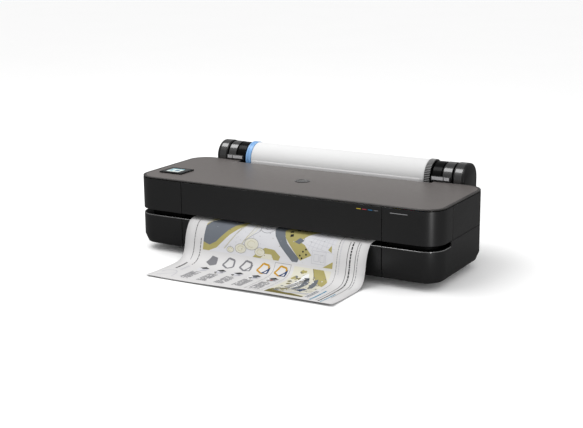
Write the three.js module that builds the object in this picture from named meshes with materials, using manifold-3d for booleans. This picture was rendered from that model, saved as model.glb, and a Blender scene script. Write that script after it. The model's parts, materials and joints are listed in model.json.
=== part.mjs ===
// Roll-fed large format plotter, millimetres, +Z up, front face towards -Y.
import * as THREE from "three";
import Module from "manifold-3d";
import { mergeVertices } from "three/addons/utils/BufferGeometryUtils.js";

// Driving dimensions. Depths are measured from the front face, heights from the table.
const bodyWidth = 1013;
const bodyDepth = 351;
const cornerRadius = 60;
const wall = 3;
const footHeight = 22.7;
const baseZ = 23;
const chamferZ = 47;
const chamferInset = 10;
const slotLowZ = 114.5;
const slotHighZ = 130.5;
const slotEndY = 93;
const doorTopZ = 227.3;
const rimZ = 229.3;
const topZ = 233;
const seamX = 337;
const seamGap = 1;
const sideSeamY = 101.5;
const rearSeamY = 297;
const rollRadius = 50;
const rollHalf = 305;
const flangeThick = 20;
const sheetHalf = rollHalf - 1;
const sheetThick = 0.6;
const platenZ = 121;
const sheetReach = 230;
const shaftRadius = 8;
const runningGap = 0.06;
const staticGap = 0.3;
const feedRadius = 10;
const pinchRadius = 10;
const pulleyRadius = 10;

// Sizes that follow from the driving ones.
const half = bodyWidth / 2;
const frameX = seamX + 3.5;
const frameThick = 4;
const notchY = bodyDepth - 29;
const notchX = seamX + 4;
const notchZ = 176;
const flangeRadius = rollRadius + 2;
const hoodRadius = rollRadius - 2;
const rollY = bodyDepth + rollRadius - 3;
const rollZ = topZ + 4;
const holderY = bodyDepth + 1.3;
const holderOuterX = half - 70.5;
const hoodInnerX = rollHalf + flangeThick + 5;
const hoodOuterX = holderOuterX - 42;
const feedY = 215;
const pinchZ = platenZ + sheetThick / 2 + staticGap + pinchRadius;
const feedZ = platenZ - sheetThick / 2 - staticGap - feedRadius;
const hingeX = half - wall;
const hingeY = sideSeamY - 3;
const carriageX = half - 131.5;
const rodY = 150;
const rodZ = 190;
const beltY = 192;
const beltZ = 172;
const pulleyX = half - 31.5;

const wasm = await Module();
wasm.setup();

const root = new THREE.Group();
root.name = "plotter";

// A closed three.js geometry as a solid ready for booleans.
function solid(geometry) {
  const bare = new THREE.BufferGeometry();
  bare.setAttribute("position", geometry.getAttribute("position"));
  bare.setIndex(geometry.index);
  const merged = mergeVertices(bare, 1e-4);
  const triVerts = new Uint32Array(merged.index.array);
  const vertProperties = merged.attributes.position.array;
  return new wasm.Manifold(new wasm.Mesh({ numProp: 3, vertProperties, triVerts }));
}

// Adds a solid to the part as one named mesh.
function place(name, body, color, metalness = 0, roughness = 0.5) {
  const mesh = body.getMesh();
  const geometry = new THREE.BufferGeometry();
  geometry.setAttribute("position", new THREE.BufferAttribute(mesh.vertProperties, 3));
  geometry.setIndex(new THREE.BufferAttribute(mesh.triVerts, 1));
  const flat = geometry.toNonIndexed();
  flat.computeVertexNormals();
  const material = new THREE.MeshStandardMaterial({ color, metalness, roughness });
  const node = new THREE.Mesh(flat, material);
  node.name = name;
  root.add(node);
}

// A block between two corners.
function box(x0, x1, y0, y1, z0, z1) {
  const geometry = new THREE.BoxGeometry(x1 - x0, y1 - y0, z1 - z0);
  geometry.translate((x0 + x1) / 2, (y0 + y1) / 2, (z0 + z1) / 2);
  return solid(geometry);
}

// The same block on the side the sign names.
function sideBox(sign, x0, x1, y0, y1, z0, z1) {
  return sign > 0 ? box(x0, x1, y0, y1, z0, z1) : box(-x1, -x0, y0, y1, z0, z1);
}

// A round bar along X.
function rodX(x0, x1, y, z, radius, sides = 32) {
  const geometry = new THREE.CylinderGeometry(radius, radius, x1 - x0, sides);
  geometry.rotateZ(Math.PI / 2);
  geometry.translate((x0 + x1) / 2, y, z);
  return solid(geometry);
}

// A round bar along Y.
function rodY3(x, y0, y1, z, radius, sides = 28) {
  const geometry = new THREE.CylinderGeometry(radius, radius, y1 - y0, sides);
  geometry.translate(x, (y0 + y1) / 2, z);
  return solid(geometry);
}

// An upright round bar.
function rodZ3(x, y, z0, z1, radius, sides = 28) {
  const geometry = new THREE.CylinderGeometry(radius, radius, z1 - z0, sides);
  geometry.rotateX(Math.PI / 2);
  geometry.translate(x, y, (z0 + z1) / 2);
  return solid(geometry);
}

// A [y, z] outline stretched along X.
function profileX(points, x0, x1) {
  const shape = new THREE.Shape(points.map(([y, z]) => new THREE.Vector2(y, z)));
  const geometry = new THREE.ExtrudeGeometry(shape, { depth: x1 - x0, bevelEnabled: false });
  const turn = new THREE.Matrix4().makeBasis(
    new THREE.Vector3(0, 1, 0),
    new THREE.Vector3(0, 0, 1),
    new THREE.Vector3(1, 0, 0),
  );
  geometry.applyMatrix4(turn);
  geometry.translate(x0, 0, 0);
  return solid(geometry);
}

// The body's rounded outline, moved inwards by an inset.
function outline(inset) {
  const radius = cornerRadius - inset;
  const centreX = half - cornerRadius;
  const corners = [
    [centreX, bodyDepth - cornerRadius, 0],
    [-centreX, bodyDepth - cornerRadius, 1],
    [-centreX, cornerRadius, 2],
    [centreX, cornerRadius, 3],
  ];
  const steps = 9;
  const points = [];
  for (const [x, y, quarter] of corners) {
    for (let i = 0; i <= steps; i++) {
      const angle = ((quarter + i / steps) * Math.PI) / 2;
      points.push([x + radius * Math.cos(angle), y + radius * Math.sin(angle)]);
    }
  }
  return points;
}

// A solid through stacked outlines, each level being [height, inset].
function loft(levels) {
  const positions = [];
  const index = [];
  const count = outline(0).length;
  for (const [z, inset] of levels) {
    for (const [x, y] of outline(inset)) positions.push(x, y, z);
  }
  for (let level = 0; level < levels.length - 1; level++) {
    for (let i = 0; i < count; i++) {
      const a = level * count + i;
      const b = level * count + ((i + 1) % count);
      index.push(a, b, b + count, a, b + count, a + count);
    }
  }
  const last = (levels.length - 1) * count;
  for (let i = 1; i < count - 1; i++) {
    index.push(0, i + 1, i);
    index.push(last, last + i, last + i + 1);
  }
  const geometry = new THREE.BufferGeometry();
  geometry.setAttribute("position", new THREE.Float32BufferAttribute(positions, 3));
  geometry.setIndex(index);
  return solid(geometry);
}

const everywhere = 900;

// The lower covers: chamfered walls, low along the paper slot and full height behind it.
function lowerCovers() {
  const outer = loft([[baseZ, chamferInset], [chamferZ, 0], [slotHighZ - 1.2, 0]]);
  const slope = chamferInset / (chamferZ - baseZ);
  const inner = loft([
    [baseZ - 1, chamferInset + wall + slope],
    [chamferZ, wall],
    [slotHighZ, wall],
  ]);
  const slot = box(-everywhere, everywhere, -10, slotEndY, slotLowZ, slotHighZ + 10);
  const ring = outer.subtract(inner).subtract(slot);
  const edge = seamX - seamGap;
  const far = seamX + seamGap;
  const front = ring.intersect(box(-edge, edge, -10, 100, 0, 200));
  place("lower_front_cover", front, 0x2c2c2c);
  for (const [side, sign] of [["left", -1], ["right", 1]]) {
    const piece = ring.intersect(sideBox(sign, far, everywhere, -10, rearSeamY - seamGap, 0, 200));
    place("lower_" + side + "_cover", piece, 0x2c2c2c);
  }
  const rear = ring.intersect(box(-everywhere, everywhere, rearSeamY + seamGap, everywhere, 0, 200));
  place("lower_rear_cover", rear, 0x2c2c2c);
}

// The upper covers that stay put on both sides.
function upperCovers() {
  const ring = loft([[slotHighZ, 0], [doorTopZ, 0]]).subtract(
    loft([[slotHighZ - 1, wall], [doorTopZ + 1, wall]]),
  );
  const far = seamX + seamGap;
  const corner = sideBox(-1, far, everywhere, -10, sideSeamY - 0.5, 0, 300);
  place("upper_left_cover", ring.intersect(corner), 0x2c2c2c);
  for (const [side, sign] of [["left", -1], ["right", 1]]) {
    const zone = sideBox(sign, far, everywhere, sideSeamY + 0.5, rearSeamY - seamGap, 0, 300);
    place("upper_" + side + "_side", ring.intersect(zone), 0x2c2c2c);
  }
  const doorZone = sideBox(1, far, everywhere, -10, hingeY, 0, 300);
  const barrel = rodZ3(hingeX, hingeY, slotHighZ, doorTopZ, wall, 24);
  place("ink_door", ring.intersect(doorZone).add(barrel), 0x2c2c2c);
}

// The rear cover, with the notch the paper drops into in front of the roll.
function rearCover() {
  const zone = box(-everywhere, everywhere, rearSeamY + seamGap, everywhere, 0, 300);
  const outer = loft([[slotHighZ, 0], [doorTopZ, 0]]).intersect(zone);
  const inner = loft([[slotHighZ - 1, wall], [doorTopZ + 1, wall]]);
  const notch = box(-notchX, notchX, notchY, everywhere, notchZ, 300);
  const notchSkin = box(
    -notchX - wall, notchX + wall, notchY - wall, everywhere, notchZ - wall, 300,
  );
  const gap = box(-rollHalf - 12, rollHalf + 12, notchY + 2, bodyDepth - 5.5, notchZ - 6, notchZ + 4);
  const cover = outer.subtract(notch).subtract(inner.subtract(notchSkin)).subtract(gap);
  place("upper_rear_cover", cover, 0x2c2c2c);
}

// The front access door between the two corner covers.
function frontDoor() {
  const edge = seamX - seamGap;
  place("front_door", box(-edge, edge, 0, wall, slotHighZ, doorTopZ), 0x2c2c2c);
}

// The top: a bevelled rim and the plate it holds.
function top() {
  const notch = box(-notchX, notchX, notchY, everywhere, 200, 300);
  const rim = loft([[rimZ, 0], [topZ - 1.5, 0], [topZ, 1.5]])
    .subtract(loft([[rimZ - 1, 8], [topZ + 1, 8]]))
    .subtract(notch);
  place("top_rim", rim, 0x6f6b68);
  const plate = loft([[topZ - 3, 8.6], [topZ, 8.6]]).subtract(notch);
  place("top_plate", plate, 0x837e7c, 0.4, 0.45);
}

// The touch panel on the left of the plate, with its screen.
function panel() {
  const x0 = -half + 40.5;
  const x1 = x0 + 82;
  const z0 = topZ + staticGap;
  const pocket = box(x0 + 6, x1 - 6, 75, 134, z0 + 1.7, z0 + 10);
  place("control_panel", box(x0, x1, 69, 140, z0, z0 + 3.7).subtract(pocket), 0x0c0d10, 0, 0.2);
  const glass = box(x0 + 6.3, x1 - 6.3, 75.3, 133.7, z0 + 2, z0 + 4);
  place("control_screen", glass, 0x22384a, 0, 0.1);
}

// The dark recesses that carry the slot round each front corner.
function slotLiners() {
  const floorLow = slotLowZ - 4.5;
  const floorHigh = slotLowZ - 0.5;
  const roof = slotHighZ + 3.5;
  const ring = loft([[floorLow, wall + 0.4], [roof, wall + 0.4]]).subtract(
    loft([[floorLow - 1, 30], [roof + 1, 30]]),
  );
  const room = loft([[floorHigh, 2], [roof + 1, 2]]).subtract(
    loft([[floorHigh - 1, 27], [roof + 2, 27]]),
  );
  const liner = ring.subtract(room);
  for (const [side, sign] of [["left", -1], ["right", 1]]) {
    const zone = sideBox(sign, frameX + frameThick + 1, everywhere, -10, slotEndY + 1.5, 0, 300);
    place("slot_liner_" + side, liner.intersect(zone), 0x0a0a0a);
  }
  const edge = seamX - seamGap;
  const guide = box(-edge, edge, wall + 0.4, 104, floorLow, floorHigh);
  place("exit_guide", guide, 0x101010);
}

// The pan that closes the bottom, and the four feet under it.
function base() {
  const inset = chamferInset + wall + 0.4;
  const pan = loft([[baseZ, inset], [baseZ + 15, inset]]).subtract(
    loft([[baseZ + 3, inset + 2], [baseZ + 16, inset + 2]]),
  );
  place("base_pan", pan, 0x6a6c6e, 0.7, 0.5);
  const footX = half - 76.5;
  const spots = [
    ["front_left", -footX, 125],
    ["front_right", footX, 125],
    ["rear_left", -footX, bodyDepth - 33],
    ["rear_right", footX, bodyDepth - 33],
  ];
  for (const [spot, x, y] of spots) place("foot_" + spot, rodZ3(x, y, 0, footHeight, 17), 0x171717);
}

// The two frames that carry the rollers, with a window for the carriage.
function frames() {
  for (const [side, sign] of [["left", -1], ["right", 1]]) {
    const x0 = frameX;
    const x1 = frameX + frameThick;
    const plate = sideBox(sign, x0, x1, 60, rearSeamY, baseZ + 3.3, rimZ - 2);
    const window = sideBox(sign, x0 - 5, x1 + 5, 104, 206, platenZ + 1, rodZ + 22);
    const feedBore = rodX(sign * frameX - 10, sign * frameX + 10, feedY, feedZ, 5 + runningGap);
    const pinchBore = rodX(sign * frameX - 10, sign * frameX + 10, feedY, pinchZ, 3 + runningGap);
    const body = plate.subtract(window).subtract(feedBore).subtract(pinchBore);
    place("side_frame_" + side, body, 0x8b8f92, 0.8, 0.45);
  }
}

// The rod, its end brackets, the carriage and its print head.
function carriage() {
  const bracketX = pulleyX + pulleyRadius + 3;
  for (const [side, sign] of [["left", -1], ["right", 1]]) {
    const block = sideBox(sign, bracketX, bracketX + 10, 120, 200, chamferZ + 3, rodZ + 12);
    const bore = sideBox(sign, bracketX - 1, bracketX + 6, rodY - 6.3, rodY + 6.3, rodZ - 6.3, rodZ + 20);
    place("rod_bracket_" + side, block.subtract(bore), 0x8b8f92, 0.8, 0.45);
  }
  place("carriage_rod", rodX(-bracketX - 5, bracketX + 5, rodY, rodZ, 6), 0xc9cccf, 1, 0.2);
  const body = box(carriageX, carriageX + 80, 110, 186, platenZ + 10, rodZ + 15);
  const bore = rodX(carriageX - 5, carriageX + 85, rodY, rodZ, 6 + runningGap);
  place("carriage", body.subtract(bore), 0x1b1b1d);
  const head = box(carriageX + 10, carriageX + 70, 120, 176, platenZ + 2.2, platenZ + 9.7);
  place("print_head", head, 0x3a3c40);
}

// The belt that pulls the carriage, its two pulleys and the motor.
function carriageDrive() {
  const inner = pulleyRadius + 0.4;
  const outer = pulleyRadius + 1.5;
  const loop = (radius, y0, y1) =>
    box(-pulleyX, pulleyX, y0, y1, beltZ - radius, beltZ + radius)
      .add(rodY3(-pulleyX, y0, y1, beltZ, radius))
      .add(rodY3(pulleyX, y0, y1, beltZ, radius));
  const belt = loop(outer, beltY - 3, beltY + 3).subtract(loop(inner, beltY - 4, beltY + 4));
  place("carriage_belt", belt, 0x202020);
  const hole = (x) => rodY3(x, beltY - 9, beltY + 9, beltZ, 2.4);
  const wheel = (x) => rodY3(x, beltY - 4, beltY + 4, beltZ, pulleyRadius).subtract(hole(x));
  place("drive_pulley", wheel(pulleyX), 0xb0b3b6, 0.9, 0.35);
  place("idler_pulley", wheel(-pulleyX), 0xb0b3b6, 0.9, 0.35);
  const motor = box(pulleyX - 20, pulleyX + 12, beltY + 8.5, beltY + 46, beltZ - 18, beltZ + 18);
  const shaft = rodY3(pulleyX, beltY - 5, beltY + 20, beltZ, 2.3);
  place("carriage_motor", motor.add(shaft), 0x3b3d40, 0.6, 0.4);
}

// The platen and the rollers that move the paper over it.
function paperPath() {
  const edge = frameX - 1.5;
  const platen = box(-edge, edge, 112, 204, platenZ - 9, platenZ - 0.8);
  place("platen", platen, 0x17181a);
  const journal = frameX + frameThick + 0.5;
  const feed = rodX(-edge, edge, feedY, feedZ, feedRadius).add(
    rodX(-journal, journal, feedY, feedZ, 5),
  );
  place("feed_roller", feed, 0x4c4f52, 0.3, 0.7);
  let pinch = rodX(-journal, journal, feedY, pinchZ, 3);
  const pitch = (2 * edge - 60) / 5;
  for (let i = 0; i < 6; i++) {
    const x = -edge + 30 + i * pitch;
    pinch = pinch.add(rodX(x - 15, x + 15, feedY, pinchZ, pinchRadius));
  }
  place("pinch_rollers", pinch, 0x2a2a2a);
  place("feed_motor", rodX(-journal - 50, -journal - 0.5, feedY, feedZ, 20), 0x3b3d40, 0.6, 0.4);
  const cutter = box(-edge + 4, -edge + 42, 74, 97, platenZ + 1.4, platenZ + 30.7);
  place("cutter_block", cutter, 0x26282b);
}

// The cap that rises under the parked carriage.
function service() {
  const sled = box(carriageX + 8, carriageX + 72, 118, 178, platenZ - 9, platenZ + 1.6);
  place("cap_sled", sled, 0x55585c);
}

// The ink bay behind the right corner door and its four cartridges.
function ink() {
  const x0 = frameX + frameThick + 5;
  const z0 = slotHighZ + 4;
  const floor = box(x0, half - 14.5, 32, 103, z0, z0 + 3);
  const back = box(x0, half - 14.5, 100, 103, z0, doorTopZ - 4);
  place("ink_bay", floor.add(back), 0x34363a);
  const pitch = (half - 17.5 - x0 - 2) / 4;
  const colors = [0xd8c21c, 0xb02a66, 0x1f78b4, 0x2b2b2e];
  for (let i = 0; i < 4; i++) {
    const x = x0 + 2 + i * pitch;
    const pack = box(x, x + pitch - 3, 36, 99.5, z0 + 3.5, doorTopZ - 8);
    place("ink_cartridge_" + (i + 1), pack, colors[i]);
  }
}

// The electronics on the pan and the mains inlet with its switch at the back.
function electronics() {
  place("main_board", box(-250, -60, 36, 100, baseZ + 3.3, baseZ + 22), 0x1f5b3a);
  place("power_supply", box(60, 240, 36, 100, baseZ + 3.3, baseZ + 48), 0x9a9da0, 0.8, 0.4);
  const y0 = bodyDepth + staticGap;
  const inletX = 30 - hoodInnerX;
  const socket = box(inletX + 6, inletX + 32, y0 + 1, y0 + 10, 66, 82);
  const inlet = box(inletX, inletX + 72, y0, y0 + 6, 60, 88).subtract(socket);
  const well = box(inletX + 44, inletX + 62, y0 + 1, y0 + 10, 63, 85);
  place("power_inlet", inlet.subtract(well), 0x151515);
  const rocker = profileX([
    [y0 + 3, 66], [y0 + 4.8, 66], [y0 + 5.3, 74], [y0 + 7, 82], [y0 + 3, 82],
  ], inletX + 45, inletX + 61);
  place("power_switch", rocker, 0x242424);
}

// Points of an arc about the roll's axis, angles in degrees from +Y towards +Z.
function rollArc(radius, from, to, steps) {
  const points = [];
  for (let i = 0; i <= steps; i++) {
    const angle = ((from + ((to - from) * i) / steps) * Math.PI) / 180;
    points.push([rollY + radius * Math.cos(angle), rollZ + radius * Math.sin(angle)]);
  }
  return points;
}

// An arch about the roll's axis with straight legs, stepped over the body's rear edge.
function archOutline(radius) {
  return [
    [holderY, 60], [rollY + radius, 60], ...rollArc(radius, 0, 180, 24),
    [rollY - radius, topZ + 1], [holderY, topZ + 1],
  ];
}

// The holders and end caps behind the body that carry the spindle.
function holders() {
  for (const [side, sign] of [["left", -1], ["right", 1]]) {
    const span = (x0, x1) => (sign > 0 ? [x0, x1] : [-x1, -x0]);
    const hood = profileX(archOutline(hoodRadius), ...span(hoodInnerX, hoodOuterX));
    const eye = sideBarX(sign, hoodInnerX - 5, hoodOuterX + 5, shaftRadius + staticGap);
    place("roll_holder_" + side, hood.subtract(eye), 0x4a4b4e, 0, 0.3);
    const saddle = sideBox(sign, hoodInnerX + 1, hoodOuterX - 1, bodyDepth - 10,
      rollY - hoodRadius - staticGap, topZ + staticGap, topZ + 17);
    place("roll_saddle_" + side, saddle, 0x9b9a98, 0, 0.4);
    const cap = profileX(archOutline(rollRadius), ...span(hoodOuterX + 4, holderOuterX));
    const bore = sideBarX(sign, hoodOuterX - 5, holderOuterX - 5, shaftRadius + runningGap);
    place("end_cap_" + side, cap.subtract(bore), 0x1c1d1f, 0, 0.25);
  }
  const backY = rollY + rollRadius;
  const trayX = hoodInnerX - staticGap;
  const tray = box(-trayX, trayX, holderY, backY - 8, 96, 100);
  const lip = box(-trayX, trayX, backY - 11, backY - 8, 96, 130);
  place("roll_tray", tray.add(lip), 0x26272a);
}

// A bar on the roll's axis on the side the sign names.
function sideBarX(sign, x0, x1, radius) {
  const low = sign > 0 ? x0 : -x1;
  const high = sign > 0 ? x1 : -x0;
  return rodX(low, high, rollY, rollZ, radius, 48);
}

// The spindle with the roll and its two flanges.
function spindle() {
  const reach = holderOuterX - 6;
  place("spindle_shaft", rodX(-reach, reach, rollY, rollZ, shaftRadius, 48), 0xb7babd, 1, 0.3);
  const inner = rodX(-rollHalf - 1, rollHalf + 1, rollY, rollZ, 26, 48);
  const roll = rodX(-rollHalf, rollHalf, rollY, rollZ, rollRadius, 64).subtract(inner);
  place("paper_roll", roll, 0xf4f4f2, 0, 0.85);
  const tones = { left: 0x9cc6ea, right: 0x151515 };
  for (const [side, sign] of [["left", -1], ["right", 1]]) {
    const disc = sideBarX(sign, rollHalf + staticGap, rollHalf + flangeThick, flangeRadius);
    const plug = sideBarX(sign, rollHalf - 25, rollHalf + 10, 26 - staticGap);
    const hub = sideBarX(sign, rollHalf + flangeThick - 5, hoodInnerX - 2, 30);
    const hole = sideBarX(sign, rollHalf - 40, hoodInnerX + 20, shaftRadius + staticGap);
    place("flange_" + side, disc.add(plug).add(hub).subtract(hole), tones[side]);
  }
}

// The centre line of the sheet, from the roll over the platen and down to the table.
function sheetLine() {
  const y = rollY - rollRadius - sheetThick;
  const edge = bodyDepth;
  return [
    [y, rollZ], [edge - 4.5, rollZ - 22], [edge - 8, rollZ - 47], [edge - 13, 172],
    [edge - 22, 153], [edge - 35, 138], [edge - 51, 128], [edge - 71, 122.6],
    [edge - 89, platenZ], [22, platenZ], [10, 119.3], [0, 116.2], [-6, 112], [-11, 107],
    [-16, 99.5], [-21, 90], [-25, 80], [-28.5, 68], [-31, 56], [-33.5, 45], [-37, 32],
    [-42, 22], [-48.5, 14], [-58, 7.5], [-70, 3.8], [-86, 2], [-110, 1.3],
    [-sheetReach + 70, 1.2], [-sheetReach + 30, 2], [-sheetReach, 4],
  ];
}

// The sheet as a thin band of even thickness along its centre line.
function sheet() {
  const line = sheetLine();
  const above = [];
  const below = [];
  line.forEach(([y, z], i) => {
    const [y0, z0] = line[Math.max(i - 1, 0)];
    const [y1, z1] = line[Math.min(i + 1, line.length - 1)];
    const length = Math.hypot(y1 - y0, z1 - z0);
    const ny = ((z1 - z0) / length) * (sheetThick / 2);
    const nz = (-(y1 - y0) / length) * (sheetThick / 2);
    above.push([y + ny, z + nz]);
    below.push([y - ny, z - nz]);
  });
  const band = [...above, ...below.reverse()];
  place("paper_web", profileX(band, -sheetHalf, sheetHalf), 0xf2f2ef, 0, 0.8);
}

lowerCovers();
upperCovers();
rearCover();
frontDoor();
top();
panel();
slotLiners();
base();
frames();
carriage();
carriageDrive();
paperPath();
service();
ink();
electronics();
holders();
spindle();
sheet();

// The part's origin is the middle of its footprint.
root.position.y = -(rollY + rollRadius - sheetReach) / 2;

export default root;
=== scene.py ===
import json
import math
import random
import bpy
import bmesh
from mathutils import Vector, Matrix


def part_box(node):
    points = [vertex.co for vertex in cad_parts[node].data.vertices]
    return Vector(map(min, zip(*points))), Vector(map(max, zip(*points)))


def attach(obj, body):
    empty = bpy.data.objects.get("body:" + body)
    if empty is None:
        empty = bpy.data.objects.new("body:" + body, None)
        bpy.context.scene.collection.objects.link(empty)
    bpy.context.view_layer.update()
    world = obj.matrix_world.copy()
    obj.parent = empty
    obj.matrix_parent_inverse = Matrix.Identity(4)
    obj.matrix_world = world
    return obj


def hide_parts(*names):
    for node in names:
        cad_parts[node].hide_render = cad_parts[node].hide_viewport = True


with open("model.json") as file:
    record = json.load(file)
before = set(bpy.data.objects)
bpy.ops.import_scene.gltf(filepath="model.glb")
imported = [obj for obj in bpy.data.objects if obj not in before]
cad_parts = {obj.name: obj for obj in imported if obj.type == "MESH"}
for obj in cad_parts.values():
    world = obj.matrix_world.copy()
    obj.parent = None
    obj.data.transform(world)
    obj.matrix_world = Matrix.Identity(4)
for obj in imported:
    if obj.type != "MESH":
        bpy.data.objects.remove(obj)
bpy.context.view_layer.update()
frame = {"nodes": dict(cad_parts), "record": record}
nodes = frame["nodes"]
record = frame["record"]
bodyOf = {node: body for body, members in record["behaviour"]["bodies"].items() for node in members}
slotOf = {part["node"]: part["material_slot"] for part in record["subparts"]}
mm = 0.001
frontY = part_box("front_door")[0].y  # the flat front face
rollLow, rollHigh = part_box("paper_roll")
rollY = (rollLow.y + rollHigh.y) / 2
rollZ = (rollLow.z + rollHigh.z) / 2
print("frame loaded,", len(nodes), "nodes")

# Camera.

cameraSettings = {"place": (1.7663, -3.0316, 1.0146), "yaw": 0.531, "pitch": 0.243, "roll": -0.01,
    "lens": 75.14}


def addCamera(c):
    forward = Vector((-math.sin(c["yaw"]) * math.cos(c["pitch"]), math.cos(c["yaw"]) * math.cos(c["pitch"]),
                      -math.sin(c["pitch"])))
    right = Vector((math.cos(c["yaw"]), math.sin(c["yaw"]), 0))
    up = right.cross(forward)
    x = right * math.cos(c["roll"]) + up * math.sin(c["roll"])
    y = up * math.cos(c["roll"]) - right * math.sin(c["roll"])
    data = bpy.data.cameras.new("camera")
    data.lens = c["lens"]
    data.sensor_width = 36
    data.clip_end = 60
    camera = bpy.data.objects.new("camera", data)
    turn = Matrix((x, y, -forward)).transposed()
    camera.matrix_world = Matrix.Translation(c["place"]) @ turn.to_4x4()
    bpy.context.scene.collection.objects.link(camera)
    bpy.context.scene.camera = camera


addCamera(cameraSettings)


# Node helpers, used for materials and for geometry trees.

class Field:
    def __init__(self, graph, socket):
        self.graph = graph
        self.socket = socket

    def __add__(self, other):
        return self.graph.math("ADD", self, other)
    def __radd__(self, other):
        return self.graph.math("ADD", other, self)
    def __sub__(self, other):
        return self.graph.math("SUBTRACT", self, other)
    def __rsub__(self, other):
        return self.graph.math("SUBTRACT", other, self)
    def __mul__(self, other):
        return self.graph.math("MULTIPLY", self, other)
    def __rmul__(self, other):
        return self.graph.math("MULTIPLY", other, self)
    def __truediv__(self, other):
        return self.graph.math("DIVIDE", self, other)


class Graph:
    def __init__(self, tree):
        self.tree = tree

    def add(self, kind, settings=None, sockets=None, out=0):
        node = self.tree.nodes.new(kind)
        for key, value in (settings or {}).items():
            if key == "stops":
                ramp = node.color_ramp
                while len(ramp.elements) < len(value):
                    ramp.elements.new(0.5)
                for element, (position, color) in zip(ramp.elements, value):
                    element.position = position
                    element.color = (*color, 1)
            else:
                setattr(node, key, value)
        for key, value in (sockets or {}).items():
            if isinstance(value, Field):
                self.tree.links.new(value.socket, node.inputs[key])
            else:
                node.inputs[key].default_value = value
        return Field(self, node.outputs[out]) if len(node.outputs) else node

    def math(self, operation, a, b):
        return self.add("ShaderNodeMath", {"operation": operation}, {0: a, 1: b})


def paint(red, green, blue):
    return tuple((c / 255 / 12.92) if c <= 10 else ((c / 255 + 0.055) / 1.055) ** 2.4
        for c in (red, green, blue))


def newMaterial(name):
    material = bpy.data.materials.new(name)
    material.use_nodes = True
    material.node_tree.nodes.clear()
    return material, Graph(material.node_tree)


def finishSurface(graph, sockets):
    shader = graph.add("ShaderNodeBsdfPrincipled", None, sockets)
    graph.add("ShaderNodeOutputMaterial", None, {"Surface": shader})


# One moulded or painted finish: fine grain, slow tone changes and faint rubbing.
def moulded(name, color, rough, grain=2600, bump=0.12, tone=0.12, metallic=0.0, specular=0.5, coat=0.0,
    spread=0.06):
    material, g = newMaterial(name)
    place = g.add("ShaderNodeTexCoord", out=3)
    fine = g.add("ShaderNodeTexNoise", None, {"Vector": place, "Scale": grain, "Detail": 3.0})
    slow = g.add("ShaderNodeTexNoise", None, {"Vector": place, "Scale": 9.0, "Detail": 4.0})
    rub = g.add("ShaderNodeTexNoise", None, {"Vector": place, "Scale": 60.0, "Detail": 6.0, "Roughness": 0.7})
    mix = (slow - 0.5) * 2 * tone + (fine - 0.5) * tone
    light = tuple(min(1, c * 1.5 + 0.002) for c in color)
    base = g.add("ShaderNodeMix", {"data_type": "RGBA"},
                 {0: mix + 0.3, 6: (*(c * 0.85 for c in color), 1), 7: (*light, 1)}, out=2)
    grainBump = g.add("ShaderNodeBump", None, {"Height": fine, "Strength": bump, "Distance": 0.0004})
    finishSurface(g, {
        "Base Color": base,
        "Roughness": rough + (rub - 0.5) * spread * 2 + (fine - 0.5) * spread,
        "Normal": grainBump, "Metallic": metallic, "Specular IOR Level": specular, "Coat Weight": coat})
    return material


# Rolled or drawn metal with streaks along X.
def brushed(name, color, rough, along=(4, 900, 900), bump=0.06):
    material, g = newMaterial(name)
    place = g.add("ShaderNodeTexCoord", out=3)
    stretched = g.add("ShaderNodeMapping", None, {"Vector": place, "Scale": along})
    streak = g.add("ShaderNodeTexNoise", None, {"Vector": stretched, "Scale": 1.0, "Detail": 5.0})
    slow = g.add("ShaderNodeTexNoise", None, {"Vector": place, "Scale": 14.0, "Detail": 3.0})
    base = g.add("ShaderNodeMix", {"data_type": "RGBA"},
                 {0: streak * 0.7 + slow * 0.3, 6: (*(c * 0.75 for c in color), 1), 7: (*color, 1)}, out=2)
    lines = g.add("ShaderNodeBump", None, {"Height": streak, "Strength": bump, "Distance": 0.0003})
    finishSurface(g, {"Base Color": base, "Roughness": rough + (streak - 0.5) * 0.2, "Normal": lines,
                      "Metallic": 1.0})
    return material


# Plotter paper: faint fibres and a soft mottle.
def paperStock(name, color, attribute=None):
    material, g = newMaterial(name)
    place = g.add("ShaderNodeTexCoord", out=3)
    fibre = g.add("ShaderNodeTexNoise", None, {"Vector": place, "Scale": 1400.0, "Detail": 4.0})
    mottle = g.add("ShaderNodeTexNoise", None, {"Vector": place, "Scale": 35.0, "Detail": 3.0})
    shade = fibre * 0.5 + mottle * 0.5
    if attribute:
        ink = g.add("ShaderNodeAttribute", {"attribute_name": attribute})
        base = g.add("ShaderNodeMix", {"data_type": "RGBA", "blend_type": "MULTIPLY"},
                     {0: shade * 0.3 + 0.35, 6: ink, 7: (*color, 1)}, out=2)
    else:
        base = g.add("ShaderNodeMix", {"data_type": "RGBA"},
                     {0: shade, 6: (*(c * 0.97 for c in color), 1), 7: (*color, 1)}, out=2)
    weave = g.add("ShaderNodeBump", None, {"Height": fibre, "Strength": 0.08, "Distance": 0.0002})
    finishSurface(g, {"Base Color": base, "Roughness": 0.72 + (mottle - 0.5) * 0.2, "Normal": weave,
                      "Specular IOR Level": 0.25})
    return material


# Lit display glass with a slow gradient.
def litGlass(name, color, glow):
    material, g = newMaterial(name)
    place = g.add("ShaderNodeTexCoord", out=3)
    smear = g.add("ShaderNodeTexNoise", None, {"Vector": place, "Scale": 80.0, "Detail": 4.0})
    base = g.add("ShaderNodeMix", {"data_type": "RGBA"},
                 {0: smear, 6: (*color, 1), 7: (*(min(1, c * 1.2) for c in color), 1)}, out=2)
    finishSurface(g, {"Base Color": base, "Roughness": 0.08 + smear * 0.08, "Emission Color": base,
                      "Emission Strength": glow})
    return material


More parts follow.
